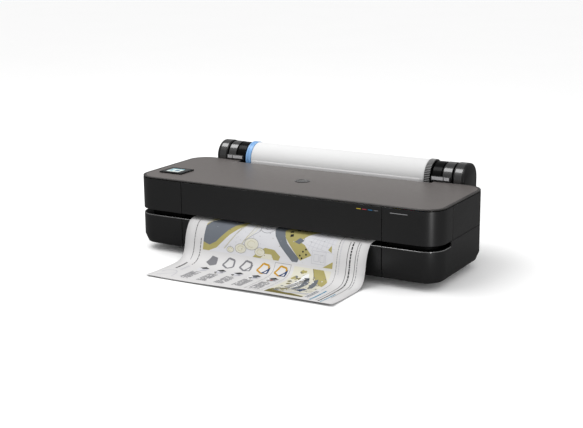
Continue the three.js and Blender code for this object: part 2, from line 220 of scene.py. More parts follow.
finishes = {
    "cover_black": moulded("coverPlastic", (0.0128, 0.0128, 0.0131), 0.34, specular=0.4, bump=0.07),
    "slot_black": moulded("slotPlastic", (0.0025, 0.0025, 0.0025), 0.6, specular=0.1),
    "top_taupe": moulded("plateCoating", paint(115, 110, 108), 0.42, grain=3600, bump=0.1, tone=0.05,
    metallic=0.35),
    "rim_grey": moulded("rimCoating", paint(58, 56, 55), 0.3, tone=0.04, metallic=0.35),
    "panel_gloss": moulded("panelGloss", (0.002, 0.002, 0.0023), 0.2, grain=900, bump=0.01, specular=0.1,
    spread=0.02),
    "screen_glass": litGlass("screenDark", (0.004, 0.006, 0.008), 0.3),
    "steel_sheet": brushed("sheetSteel", (0.52, 0.53, 0.54), 0.38),
    "rod_steel": brushed("rodSteel", (0.75, 0.75, 0.76), 0.16, bump=0.02),
    "alloy": brushed("turnedAlloy", (0.62, 0.63, 0.64), 0.3),
    "rubber_black": moulded("softRubber", (0.012, 0.012, 0.012), 0.75, specular=0.3),
    "mech_plastic": moulded("mechanismPlastic", (0.025, 0.025, 0.028), 0.5),
    "ink_yellow": moulded("yellowTank", paint(226, 196, 30), 0.3, tone=0.03),
    "ink_magenta": moulded("magentaTank", paint(190, 40, 104), 0.3, tone=0.03),
    "ink_cyan": moulded("cyanTank", paint(30, 128, 190), 0.3, tone=0.03),
    "ink_black": moulded("blackTank", paint(38, 38, 42), 0.3, tone=0.03),
    "board_green": moulded("circuitBoard", paint(30, 96, 58), 0.4, tone=0.2),
    "holder_black": moulded("holderGloss", (0.0022, 0.0022, 0.0024), 0.2, bump=0.03, spread=0.03,
    specular=0.12),
    "saddle_grey": moulded("saddlePlastic", (0.012, 0.012, 0.0125), 0.22, bump=0.03, spread=0.03,
    specular=0.6),
    "flange_blue": moulded("flangeBlue", paint(124, 168, 216), 0.28, bump=0.02, tone=0.04, coat=0.2),
    "flange_black": moulded("flangeBlack", (0.004, 0.004, 0.004), 0.3, specular=0.2),
    "roll_paper": paperStock("plotterPaper", (0.70, 0.70, 0.70)),
}
bandGloss = moulded("bandGloss", (0.012, 0.012, 0.0125), 0.22, bump=0.03, spread=0.03, specular=1.0, coat=1.0)
# Near-black, almost unreflecting, for the slabs in the seams: painted shade in the gaps between covers
seamShadeBlack = moulded("seamShadeBlack", (0.0006, 0.0006, 0.0006), 0.8, bump=0.01, specular=0.02)
capSatin = moulded("capSatin", (0.0085, 0.0085, 0.0088), 0.3, bump=0.03, specular=0.4)
# Mid-grey for the knurl ridges on the black right flange: a painted highlight on the ridges
ridgeHighlightGrey = moulded("ridgeHighlightGrey", (0.26, 0.26, 0.26), 0.4, specular=0.4)
# Light grey for the strips on the saddles' front faces: a painted highlight on the dark saddle plastic
stripHighlightGrey = moulded("stripHighlightGrey", paint(168, 168, 170), 0.25, bump=0.02, tone=0.06)
sheetPaper = paperStock("sheetPaper", (0.635, 0.628, 0.628))
artInk = paperStock("printedInk", (0.55, 0.55, 0.56), "inkColor")
dashInk = moulded("printedMark", paint(150, 150, 152), 0.5, tone=0.05)
badgeDark = moulded("badgeDark", (0.006, 0.006, 0.006), 0.2, bump=0.02, coat=0.3)
screenLit = litGlass("screenWhite", paint(196, 206, 202), 0.3)
screenTeal = litGlass("screenTeal", paint(96, 150, 164), 0.25)
screenBlue = litGlass("screenBlue", paint(84, 112, 132), 0.25)
print("materials made")


# Mesh helpers.

def newPiece(name, verts, faces, material, smoothAngle=35):
    mesh = bpy.data.meshes.new(name)
    mesh.from_pydata([tuple(v) for v in verts], [], faces)
    mesh.validate()
    mesh.materials.append(material)
    mesh.shade_smooth()
    mesh.set_sharp_from_angle(angle=math.radians(smoothAngle))
    piece = bpy.data.objects.new(name, mesh)
    bpy.context.scene.collection.objects.link(piece)
    return piece


def addBevel(piece, width, segments=3):
    bevel = piece.modifiers.new("edges", "BEVEL")
    bevel.width = width
    bevel.segments = segments
    bevel.limit_method = "ANGLE"
    bevel.angle_limit = math.radians(32)
    bevel.harden_normals = True
    return piece


def settle(piece, body, replaced=()):
    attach(piece, body)
    if replaced:
        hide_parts(*replaced)
    return piece


# A CAD node's clean copy with softened edges, standing for the node.
def refine(node, width=0.0008, segments=3, name=None, material=None):
    bm = bmesh.new()
    bm.from_mesh(nodes[node].data)
    bmesh.ops.remove_doubles(bm, verts=bm.verts, dist=2e-6)
    bmesh.ops.dissolve_limit(bm, angle_limit=math.radians(0.5), verts=bm.verts, edges=bm.edges)
    verts = [v.co.copy() for v in bm.verts]
    bm.verts.index_update()
    faces = [[v.index for v in face.verts] for face in bm.faces]
    bm.free()
    piece = newPiece(name or node + "_shell", verts, faces, material or finishes[slotOf[node]])
    if width:
        addBevel(piece, width, segments)
    return settle(piece, bodyOf[node], [node])


# A closed ring of revolution about the roll's axis, from [x, radius] stations.
def spinX(name, stations, material, sides=72):
    verts, faces = [], []
    for x, radius in stations:
        for i in range(sides):
            angle = 2 * math.pi * i / sides
            verts.append((x, rollY + radius * math.cos(angle), rollZ + radius * math.sin(angle)))
    count = len(stations)
    for s in range(count):
        for i in range(sides):
            j = (i + 1) % sides
            t = (s + 1) % count
            faces.append((s * sides + i, t * sides + i, t * sides + j, s * sides + j))
    piece = newPiece(name, verts, faces, material)
    fixNormals(piece)
    return piece


def fixNormals(piece):
    bm = bmesh.new()
    bm.from_mesh(piece.data)
    bmesh.ops.remove_doubles(bm, verts=bm.verts, dist=1e-7)
    bmesh.ops.recalc_face_normals(bm, faces=bm.faces)
    bm.to_mesh(piece.data)
    bm.free()


# Geometry trees for what repeats.

def linkGroup(name, inputs, build):
    tree = bpy.data.node_groups.new(name, "GeometryNodeTree")
    tree.interface.new_socket("Geometry", in_out="OUTPUT", socket_type="NodeSocketGeometry")
    for label, kind, value in inputs:
        socket = tree.interface.new_socket(label, in_out="INPUT", socket_type=kind)
        socket.default_value = value
    graph = Graph(tree)
    source = tree.nodes.new("NodeGroupInput")
    fields = {label: Field(graph, source.outputs[label]) for label, kind, value in inputs}
    result = build(graph, fields)
    sink = tree.nodes.new("NodeGroupOutput")
    tree.links.new(result.socket, sink.inputs[0])
    return tree


# Small blocks set round a circle about the X axis.
def ringTree(material):
    def build(g, f):
        line = g.add("GeometryNodeMeshLine", None, {"Count": f["Count"]})
        turn = g.add("GeometryNodeInputIndex") * f["Step"]
        cosine = g.add("ShaderNodeMath", {"operation": "COSINE"}, {0: turn})
        sine = g.add("ShaderNodeMath", {"operation": "SINE"}, {0: turn})
        spot = g.add("ShaderNodeCombineXYZ", None, {0: 0.0, 1: cosine * f["Radius"], 2: sine * f["Radius"]})
        placed = g.add("ShaderNodeVectorMath", {"operation": "ADD"}, {0: spot, 1: f["Centre"]})
        points = g.add("GeometryNodeSetPosition", None, {"Geometry": line, "Position": placed})
        block = g.add("GeometryNodeMeshCube", None, {"Size": f["Block"]})
        angle = g.add("ShaderNodeCombineXYZ", None, {0: turn, 1: 0.0, 2: 0.0})
        spread = g.add("GeometryNodeInstanceOnPoints", None,
                       {"Points": points, "Instance": block, "Rotation": angle})
        real = g.add("GeometryNodeRealizeInstances", None, {"Geometry": spread})
        return g.add("GeometryNodeSetMaterial", None, {"Geometry": real, "Material": material})
    return linkGroup("ring of blocks", [("Count", "NodeSocketInt", 60), ("Step", "NodeSocketFloat", 0.1),
                                        ("Radius", "NodeSocketFloat", 0.05),
                                        ("Centre", "NodeSocketVector", (0, 0, 0)),
                                        ("Block", "NodeSocketVector", (0.02, 0.002, 0.002))], build)


# Small blocks set in a straight row.
def rowTree(material):
    def build(g, f):
        line = g.add("GeometryNodeMeshLine", None,
                     {"Count": f["Count"], "Start Location": f["Start"], "Offset": f["Offset"]})
        block = g.add("GeometryNodeMeshCube", None, {"Size": f["Block"]})
        spread = g.add("GeometryNodeInstanceOnPoints", None, {"Points": line, "Instance": block})
        real = g.add("GeometryNodeRealizeInstances", None, {"Geometry": spread})
        return g.add("GeometryNodeSetMaterial", None, {"Geometry": real, "Material": material})
    return linkGroup("row of blocks", [("Count", "NodeSocketInt", 10),
        ("Start", "NodeSocketVector", (0, 0, 0)),
                                       ("Offset", "NodeSocketVector", (0.01, 0, 0)),
                                       ("Block", "NodeSocketVector", (0.002, 0.002, 0.002))], build)


def grow(name, tree, values, material, bevel=0.0):
    holder = bpy.data.objects.new(name, bpy.data.meshes.new(name))
    bpy.context.scene.collection.objects.link(holder)
    modifier = holder.modifiers.new("grow", "NODES")
    modifier.node_group = tree
    for item in tree.interface.items_tree:
        if item.in_out == "INPUT" and item.name in values:
            modifier[item.identifier] = values[item.name]
    graph = bpy.context.evaluated_depsgraph_get()
    mesh = bpy.data.meshes.new_from_object(holder.evaluated_get(graph))
    holder.modifiers.remove(modifier)
    holder.data = mesh
    if not mesh.materials:
        mesh.materials.append(material)
    if bevel:
        addBevel(holder, bevel, 2)
    return holder


# Body covers and the rest of the CAD nodes.

coverEdges = {
    "lower_front_cover": 0.0012, "lower_left_cover": 0.0012, "lower_right_cover": 0.0012,
    "lower_rear_cover": 0.001,
    "upper_left_cover": 0.001, "upper_left_side": 0.0009, "upper_right_side": 0.0009,
    "upper_rear_cover": 0.001,
    "ink_door": 0.001, "front_door": 0.001, "top_rim": 0.0009, "top_plate": 0.0007, "control_panel": 0.0008,
    "control_screen": 0.0005, "exit_guide": 0.0012, "carriage": 0.002, "print_head": 0.001,
    "cutter_block": 0.0015,
    "roll_saddle_left": 0.0025, "roll_saddle_right": 0.0025, "foot_front_left": 0.002,
    "foot_front_right": 0.002,
    "foot_rear_left": 0.002, "foot_rear_right": 0.002, "ink_cartridge_1": 0.002, "ink_cartridge_2": 0.002,
    "ink_cartridge_3": 0.002, "ink_cartridge_4": 0.002, "power_supply": 0.0015, "carriage_motor": 0.0015}
ownPieces = {"paper_web", "paper_roll", "flange_left", "flange_right", "roll_holder_left",
    "roll_holder_right",
             "end_cap_left", "end_cap_right"}
for node in sorted(nodes):
    if node not in ownPieces:
        refine(node, coverEdges.get(node, 0.0005))
print("covers and mechanism refined")


# Roll, flanges, holders.

rollSizes = {"outer": 0.05, "core": 0.0262, "half": rollHigh.x, "flange": 0.052, "flangeWide": 0.0198,
    "hub": 0.0228}


def addRoll(c):
    half = c["half"]
    edge = 0.0009
    stations = [(-half, c["core"]), (-half, c["outer"] - edge), (-half + edge * 0.3, c["outer"] - edge * 0.3),
                (-half + edge, c["outer"]), (half - edge, c["outer"]),
                (half - edge * 0.3, c["outer"] - edge * 0.3),
                (half, c["outer"] - edge), (half, c["core"])]
    roll = spinX("paper_roll_body", stations, finishes["roll_paper"], 96)
    settle(roll, "spindle", ["paper_roll"])


def addFlange(side, sign, c):
    inner, outer = c["half"] + 0.0004, c["half"] + c["flangeWide"]
    r = c["flange"] - (0.0012 if side == "right" else 0.0)
    stations = [(inner, 0.0255), (inner, r - 0.001), (inner + 0.001, r), (inner + 0.006, r),
        (inner + 0.007, r - 0.0015),
                (outer - 0.008, r - 0.0015), (outer - 0.007, r), (outer - 0.0015, r), (outer, r - 0.0015),
                (outer, 0.043), (outer - 0.006, 0.04), (outer - 0.006, 0.032), (outer, 0.03),
                (c["half"] + c["hub"] - 0.001, 0.0295), (c["half"] + c["hub"], 0.0285),
                (c["half"] + c["hub"], 0.0085),
                (c["half"] - 0.0248, 0.0085), (c["half"] - 0.0248, 0.0255)]
    slotName = "flange_blue" if side == "left" else "flange_black"
    disc = spinX("flange_" + side + "_disc", [(sign * x, rad) for x, rad in stations], finishes[slotName], 72)
    settle(disc, "spindle", ["flange_" + side])


addRoll(rollSizes)
addFlange("left", -1, rollSizes)
addFlange("right", 1, rollSizes)
# The knurl's ridges are coloured mid-grey against the black flange, a painted highlight on the ridges
knurl = {"count": 60, "radius": 0.0508, "block": (0.0185, 0.0028, 0.0023)}
knurlTree = ringTree(ridgeHighlightGrey)
ridges = grow("flange_right_knurl", knurlTree, {
    "Count": knurl["count"], "Step": 2 * math.pi / knurl["count"], "Radius": knurl["radius"],
    "Centre": (rollSizes["half"] + 0.0101, rollY, rollZ), "Block": knurl["block"]}, ridgeHighlightGrey, 0.0005)
settle(ridges, "spindle")


# An arch about the roll's axis, stacked along X from [x, radius] stations.
def archStack(name, node, stations, material, steps=32):
    low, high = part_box(node)
    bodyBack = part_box("end_cap_right")[0].y + 0.0043
    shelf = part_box("top_plate")[1].z + 0.001
    verts, faces = [], []
    for x, radius in stations:
        trim = 0.05 - radius
        ring = [(bodyBack, low.z + trim * 0.2), (rollY + radius, low.z + trim * 0.2)]
        ring += [(rollY + radius * math.cos(math.pi * i / steps),
            rollZ + radius * math.sin(math.pi * i / steps))
                 for i in range(steps + 1)]
        ring += [(rollY - radius, shelf), (max(bodyBack, rollY - radius), shelf)]
        verts += [(x, y, z) for y, z in ring]
        count = len(ring)
    for s in range(len(stations) - 1):
        for i in range(count):
            j = (i + 1) % count
            faces.append((s * count + i, (s + 1) * count + i, (s + 1) * count + j, s * count + j))
    faces.append(list(range(count)))
    faces.append([(len(stations) - 1) * count + i for i in reversed(range(count))])
    piece = newPiece(name, verts, faces, material, 30)
    fixNormals(piece)
    return piece


for side, sign in (("left", -1), ("right", 1)):
    low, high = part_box("roll_holder_" + side)
    x0, x1 = (low.x, high.x) if sign > 0 else (-high.x, -low.x)
    band = x1 - 0.034
    hood = [(x0, 0.0455), (x0 + 0.0015, 0.0475), (band - 0.0012, 0.0478), (band, 0.0462),
        (band + 0.0004, 0.0446),
            (band + 0.0024, 0.0446), (band + 0.0028, 0.0465), (band + 0.0042, 0.048), (x1 - 0.0015, 0.0478),
            (x1, 0.0462)]
    piece = archStack("roll_holder_" + side + "_hood", "roll_holder_" + side,
        [(sign * x, r) for x, r in hood],
                      finishes["holder_black"])
    settle(piece, "chassis", ["roll_holder_" + side])
    strap = [(band + 0.0050, 0.0478), (band + 0.0058, 0.0484), (x1 - 0.0020, 0.0484), (x1 - 0.0010, 0.0476)]
    settle(archStack("holder_band_" + side, "roll_holder_" + side, [(sign * x, r) for x, r in strap],
        bandGloss),
           "chassis")
    low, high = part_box("end_cap_" + side)
    x0, x1 = (low.x, high.x) if sign > 0 else (-high.x, -low.x)
    cap = [(x0, 0.0465), (x0 + 0.0008, 0.0485), (x0 + 0.003, 0.0498), (x0 + 0.012, 0.05), (x1 - 0.006, 0.05),
           (x1 - 0.003, 0.0492), (x1 - 0.001, 0.0475), (x1, 0.0452)]
    piece = archStack("end_cap_" + side + "_cover", "end_cap_" + side, [(sign * x, r) for x, r in cap],
                      capSatin)
    settle(piece, "chassis", ["end_cap_" + side])
    strap = [(x0 + 0.0040, 0.0495), (x0 + 0.0050, 0.0502), (x0 + 0.0270, 0.0502), (x0 + 0.0280, 0.0495)]
    settle(archStack("cap_band_" + side, "end_cap_" + side, [(sign * x, r) for x, r in strap], bandGloss),
           "chassis")
print("roll and holders made")


# The printed sheet.

sheetSizes = {"half": 0.304, "rows": 150, "columns": 28, "thick": 0.00025}
# Centre line from the roll to the free edge, [behind the front face, height] in millimetres.
sheetLine = [(347.4, 237), (346.5, 215), (343, 190), (338, 172), (329, 153), (316, 138), (300, 128),
    (280, 122.6),
             (262, 121), (200, 121), (140, 121), (80, 121), (40, 121), (22, 121), (10, 119.3), (0, 116.2),
             (-6, 112),
             (-11, 107), (-16, 99.5), (-21, 90), (-25, 80), (-28.5, 68), (-31, 56), (-33.5, 45), (-37, 32),
             (-42, 22),
             (-48.5, 14), (-58, 7.5), (-70, 3.8), (-86, 2), (-110, 1.3), (-160, 1.2), (-200, 2),
             (-230, 4)]


def smoothLine(points, steps):
    dense = []
    for i in range(len(points) - 1):
        a = Vector(points[max(i - 1, 0)])
        b, c = Vector(points[i]), Vector(points[i + 1])
        d = Vector(points[min(i + 2, len(points) - 1)])
        for k in range(8):
            t = k / 8
            dense.append(0.5 * (2 * b + (c - a) * t + (2 * a - 5 * b + 4 * c - d) * t * t
                                + (3 * b - a - 3 * c + d) * t ** 3))
    dense.append(Vector(points[-1]))
    lengths = [0.0]
    for p, q in zip(dense, dense[1:]):
        lengths.append(lengths[-1] + (q - p).length)
    even, k = [], 0
    for i in range(steps + 1):
        want = lengths[-1] * i / steps
        while k < len(dense) - 2 and lengths[k + 1] < want:
            k += 1
        span = lengths[k + 1] - lengths[k]
        even.append(dense[k].lerp(dense[k + 1], (want - lengths[k]) / span if span else 0))
    return even, lengths[-1]


sheetPath, sheetLength = smoothLine(sheetLine, 400)


# A point on the sheet: across from -1 to 1, and millimetres up from the free edge.
def onSheet(across, up, lift=0.0):
    place = min(max((1 - up / sheetLength) * 400, 0), 399.999)
    k = int(place)
    p = sheetPath[k].lerp(sheetPath[k + 1], place - k)
    ahead = sheetPath[min(k + 2, 400)]
    behind = sheetPath[max(k - 1, 0)]
    along = (ahead - behind).normalized()
    normal = Vector((along.y, -along.x))
    free = min(max((300 - up) / 300, 0), 1) ** 2
    curl = free * (3.5 * (1 + across) ** 2 / 4 + 1.2 * math.sin(across * 4.0 + 1) + 1.2)
    sway = free * 4.0 * math.sin(across * 2.2)
    y = p.x + sway + normal.x * lift
    z = p.y + curl + normal.y * lift
    return Vector((across * sheetSizes["half"], frontY + y * mm, z * mm))


def addSheet(c):
    verts, faces = [], []
    wide = c["columns"] + 1
    for row in range(c["rows"] + 1):
        up = sheetLength * (1 - row / c["rows"])
        for column in range(wide):
            verts.append(onSheet(2 * column / c["columns"] - 1, up))
    for row in range(c["rows"]):
        for column in range(c["columns"]):
            i = row * wide + column
            faces.append((i, i + wide, i + wide + 1, i + 1))
    sheet = newPiece("paper_sheet", verts, faces, sheetPaper, 60)
    skin = sheet.modifiers.new("thickness", "SOLIDIFY")
    skin.thickness = c["thick"]
    skin.offset = 0
    settle(sheet, "chassis", ["paper_web"])
    sheetLength * mm


addSheet(sheetSizes)
print("sheet made,", round(sheetLength), "mm long")


# The drawing printed on the sheet, as thin ink patches on its face.

inks = {"slate": paint(118, 124, 132), "olive": paint(186, 176, 112), "darkOlive": paint(126, 116, 62),
        "cream": paint(235, 232, 214), "black": paint(38, 38, 40), "grey": paint(134, 134, 138),
        "pale": paint(208, 208, 214), "gold": paint(212, 162, 36), "navy": paint(26, 62, 112),
        "teal": paint(22, 140, 178), "mist": paint(233, 233, 236), "white": paint(250, 250, 250),
        "rust": paint(150, 70, 52)}
artVerts, artFaces, artColors = [], [], []
pageWide = 608


# One filled outline on the page, cut into bands so that it follows the curve.
def patch(points, ink, layer=1, band=3.2):
    bm = bmesh.new()
    face = bm.faces.new([bm.verts.new((a, b, 0)) for a, b in points])
    bmesh.ops.triangulate(bm, faces=[face])
    low, high = min(b for a, b in points), max(b for a, b in points)
    cut = math.ceil(low / band) * band
    while cut < high:
        bmesh.ops.bisect_plane(bm, geom=bm.verts[:] + bm.edges[:] + bm.faces[:], dist=1e-4,
                               plane_co=(0, cut, 0), plane_no=(0, 1, 0))
        cut += band
    bm.verts.index_update()
    start = len(artVerts)
    for v in bm.verts:
        artVerts.append(onSheet(v.co.x / pageWide * 2 - 1, v.co.y, 0.2 + 0.05 * layer))
    for f in bm.faces:
        ring = [start + v.index for v in f.verts]
        artFaces.append(ring if f.normal.z > 0 else ring[::-1])
        artColors.append(inks[ink])
    bm.free()


# A line of even width through points on the page.
def stroke(points, width, ink, layer=2):
    for (a0, b0), (a1, b1) in zip(points, points[1:]):
        length = math.hypot(a1 - a0, b1 - b0)
        if length:
            na, nb = -(b1 - b0) / length * width / 2, (a1 - a0) / length * width / 2
            patch([(a0 + na, b0 + nb), (a0 - na, b0 - nb), (a1 - na, b1 - nb), (a1 + na, b1 + nb)], ink,
                layer)


def arc(a, b, radius, start, end, steps=14, squash=1.0):
    return [(a + radius * math.cos(math.radians(start + (end - start) * i / steps)),
             b + squash * radius * math.sin(math.radians(start + (end - start) * i / steps)))
             for i in range(steps + 1)]


def blob(a, b, radius, ink, layer, rng, count=9, squash=1.0):
    patch([(a + radius * rng.uniform(0.7, 1.15) * math.cos(2 * math.pi * i / count),
            b + squash * radius * rng.uniform(0.7, 1.15) * math.sin(2 * math.pi * i / count))
            for i in range(count)],
          ink, layer)


# A column of short dashes, standing in for notes.
def notes(a, b0, b1, ink, rng, width=1.6, lines=1, pitch=5.0):
    for k in range(lines):
        b = b0
        while b < b1:
            run = rng.uniform(3, 11)
            patch([(a + k * pitch, b), (a + k * pitch + width, b), (a + k * pitch + width, min(b + run, b1)),
                   (a + k * pitch, min(b + run, b1))], ink, 2)
            b += run + rng.uniform(1.2, 2.4)


pageSizes = {"planLeft": 66, "planRight": 505, "planLow": 214, "planTop": 336, "legendLeft": 93,
    "legendPitch": 59,
             "detailLeft": 384, "detailRight": 503, "detailLow": 22, "detailTop": 206}


def drawSitePlan(rng, c):
    left, right, low, top = c["planLeft"], c["planRight"], c["planLow"], c["planTop"]
    wide, high = right - left, top - low

    def at(points):
        return [(left + u * wide, low + v * high) for u, v in points]

    patch(at([(0, 0), (1, 0), (1, 1), (0, 1)]), "mist", 1)
    # the diagonal road with its verges
    patch(at([(0, 0), (0.05, -0.0), (0.11, 0.10), (0.20, 0.45), (0.29, 0.72), (0.31, 1), (0.0, 1)]),
        "olive", 2)
    patch(at([(0, 0.20), (0.05, 0.14), (0.10, 0.24), (0.18, 0.55), (0.26, 0.82), (0.27, 1), (0.10, 1),
        (0.04, 0.8),
              (0, 0.6)]), "slate", 3)
    patch(at([(0, 0.66), (0.05, 0.82), (0.08, 1), (0, 1)]), "cream", 4)
    patch(at([(0.02, 0.78), (0.05, 0.9), (0.06, 1), (0.03, 1)]), "olive", 5)
    # the turning loop and the round lawns
    for width, ink, grow in ((3.2, "cream", 0), (1.1, "grey", 8), (1.1, "olive", -7)):
        stroke(at([(0.17, 0.10), (0.24, 0.44), (0.31, 0.80 + grow / 200), (0.36 + grow / 300, 0.90),
                   (0.40 + grow / 300, 0.80), (0.39 + grow / 300, 0.62), (0.32, 0.36), (0.27, 0.06)]),
                   width, ink, 3)
    for u, v, r in ((0.22, 0.10, 12), (0.30, 0.16, 19), (0.38, 0.30, 24), (0.45, 0.14, 17)):
        a, b = left + u * wide, low + v * high
        patch(arc(a, b, r, 0, 360, 18, 0.72)[:-1], "cream", 4)
        stroke(arc(a, b, r, 0, 360, 22, 0.72), 1.0, "grey", 5)
        stroke(arc(a, b, r * 0.55, 30, 300, 12, 0.72), 0.8, "olive", 5)
    stroke(arc(left + 0.47 * wide, low + 0.78 * high, 24, 0, 360, 26, 0.8), 1.2, "grey", 4)
    stroke(arc(left + 0.47 * wide, low + 0.78 * high, 8, 0, 360, 14, 0.8), 0.8, "grey", 4)
    patch(at([(0.40, 0), (0.44, 0.16), (0.49, 0.26), (0.56, 0.24), (0.61, 0.10), (0.60, 0)]), "olive", 3)
    patch(at([(0.46, 0), (0.49, 0.12), (0.54, 0.12), (0.56, 0)]), "cream", 5)
    # the footpath and the angled block beside it
    patch(at([(0.53, 1), (0.52, 0.80), (0.55, 0.58), (0.60, 0.36), (0.66, 0.16), (0.70, 0.03), (0.74, 0.03),
              (0.75, 0.12), (0.70, 0.28), (0.65, 0.44), (0.62, 0.62), (0.64, 0.80), (0.66, 1)]), "slate", 4)
    patch(at([(0.63, 1), (0.60, 0.78), (0.63, 0.56), (0.70, 0.30), (0.76, 0.08), (0.84, 0.24), (0.78, 0.46),
              (0.74, 0.52), (0.79, 0.72), (0.86, 1)]), "olive", 5)
    patch(at([(0.70, 0.50), (0.735, 0.62), (0.77, 0.56), (0.74, 0.46)]), "slate", 6)
    for u, v in ((0.645, 0.72), (0.68, 0.84), (0.725, 0.88), (0.77, 0.92), (0.66, 0.60)):
        patch(at([(u, v), (u + 0.022, v + 0.03), (u + 0.016, v + 0.10), (u - 0.006, v + 0.07)]), "black", 7)
    for u, v in ((0.755, 0.20), (0.775, 0.30), (0.80, 0.24), (0.77, 0.14), (0.795, 0.36)):
        patch(arc(left + u * wide, low + v * high, 3.0, 0, 360, 8)[:-1], "black", 7)
    # parcels and paving lines
    for k in range(6):
        stroke(at([(0.80 + k * 0.035, 0.30 + k * 0.04), (0.88 + k * 0.02, 1)]), 0.9, "pale", 4)
        stroke(at([(0.79 + k * 0.012, 0.48 + k * 0.09), (1, 0.34 + k * 0.11)]), 0.9, "pale", 4)
    for u, v, w, h in ((0.845, 0.06, 0.10, 0.30), (0.86, 0.12, 0.035, 0.16), (0.905, 0.12, 0.03, 0.16)):
        stroke(at([(u, v), (u + w, v), (u + w, v + h), (u, v + h), (u, v)]), 1.2, "pale", 5)
    patch(at([(0.93, 0), (1, 0), (1, 0.16)]), "olive", 4)
    patch(at([(0.955, 0.42), (0.985, 0.36), (0.975, 0.54)]), "olive", 5)
    for k in range(60):
        blob(left + rng.uniform(0.02, 0.98) * wide, low + rng.uniform(0.04, 0.96) * high,
            rng.uniform(0.8, 2.0),
             rng.choice(["pale", "grey", "darkOlive", "pale"]), 6, rng, 5)


def drawLegend(rng, c):
    for column in range(5):
        a = c["legendLeft"] + column * c["legendPitch"]
        house = [(a - 2, 176), (a + 12, 200), (a + 32, 196), (a + 36, 172), (a + 20, 162)]
        if column == 0:
            patch(house, "grey", 3)
        else:
            stroke(house + [house[0]], 5.6, "grey" if column < 3 else "gold", 3)
        if column > 1:
            patch([(a + 15, 164), (a + 38, 164), (a + 38, 192)], "navy" if column > 2 else "grey", 5)
            patch([(a + 25, 168), (a + 33, 168), (a + 33, 179)], "white", 6)
        patch([(a + 2, 118), (a + 17, 110), (a + 17, 132), (a + 2, 138)], "mist", 3)
        patch([(a + 17, 110), (a + 34, 119), (a + 34, 140), (a + 17, 132)], "pale", 3)
        patch([(a + 2, 138), (a + 17, 132), (a + 34, 140), (a + 18, 149)], "black", 4)
        if column > 0:
            blob(a + 9, 122, 6, "black", 5, rng, 6)
            blob(a + 26, 127, 5, "grey", 5, rng, 6)
            blob(a + 14, 112, 3, "darkOlive", 6, rng, 6)
        if column > 2:
            patch([(a + 1, 116), (a + 9, 112), (a + 9, 134), (a + 1, 140)], "white", 5)
            blob(a + 18, 130, 8, "slate", 5, rng, 7)
        if column == 4:
            blob(a + 17, 126, 7, "rust", 6, rng, 7)
        for k in range(11):
            for m in range(5):
                b = 34 + k * 6.4
                if rng.random() < 0.88:
                    w = rng.uniform(4.0, 6.2)
                    patch([(a + m * 6.4, b), (a + m * 6.4 + w, b), (a + m * 6.4 + w, b + 4.4),
                        (a + m * 6.4, b + 4.4)],
                          "grey", 3)
    a = c["legendLeft"] + 4 * c["legendPitch"] - 9
    stroke([(a, 24), (a + 53, 24), (a + 53, 208), (a, 208), (a, 24)], 1.0, "grey", 3)


def drawDetail(rng, c):
    left, right, low, top = c["detailLeft"], c["detailRight"], c["detailLow"], c["detailTop"]
    wide, high = right - left, top - low

    def at(points):
        return [(left + u * wide, low + v * high) for u, v in points]

    patch(at([(0, 0), (1, 0), (1, 1), (0, 1)]), "cream", 1)
    for k in range(46):
        u = rng.uniform(0.06, 0.36)
        blob(left + u * wide, low + rng.uniform(0.08, 0.94) * high, rng.uniform(4, 8),
             rng.choice(["darkOlive", "olive", "darkOlive", "slate", "olive"]), 2, rng, 8, 0.9)
    patch(at([(0.52, 1), (0.80, 1), (1, 0.80), (1, 0.62), (0.86, 0.66), (0.60, 0.86)]), "olive", 4)
    stroke(at([(0.52, 1), (0.62, 0.82), (0.88, 0.62)]), 2.0, "darkOlive", 5)
    patch(at([(0.30, 0.86), (0.44, 0.92), (0.52, 0.70), (0.46, 0.44), (0.34, 0.34), (0.22, 0.40)]), "white",
        4)
    patch(at([(0.40, 0.82), (0.50, 0.84), (0.62, 0.64), (0.60, 0.40), (0.50, 0.30), (0.42, 0.32),
        (0.50, 0.52)]), "slate", 5)
    patch(at([(0.66, 0.80), (0.74, 0.84), (0.84, 0.62), (0.86, 0.48), (0.76, 0.44), (0.70, 0.60)]), "slate",
        5)
    patch(at([(0.56, 0.30), (0.70, 0.42), (0.80, 0.40), (0.72, 0.26)]), "navy", 6)
    for k in range(11):
        v = 0.36 + k * 0.044
        patch(at([(0.22 + k * 0.016, v), (0.38 + k * 0.014, v - 0.012), (0.38 + k * 0.014, v + 0.012),
                  (0.22 + k * 0.016, v + 0.022)]), "black", 7)
    patch(at([(0, 0), (1, 0), (1, 0.05), (0.5, 0.13), (0, 0.16)]), "darkOlive", 5)
    patch(at([(0.0, 0.16), (0.24, 0.14), (0.9, 0.20), (1, 0.26), (1, 0.16), (0.5, 0.10)]), "pale", 6)
    for k in range(6):
        stroke(at([(0.10, 0.16 + k * 0.03), (0.5, 0.20 + k * 0.03), (1, 0.20 + k * 0.055)]), 1.3,
               ["grey", "white", "slate"][k % 3], 7)
    for k in range(60):
        blob(left + rng.uniform(0.3, 0.97) * wide, low + rng.uniform(0.2, 0.9) * high, rng.uniform(1.0, 3.2),
             rng.choice(["black", "grey", "olive", "white", "darkOlive"]), 7, rng, 6)


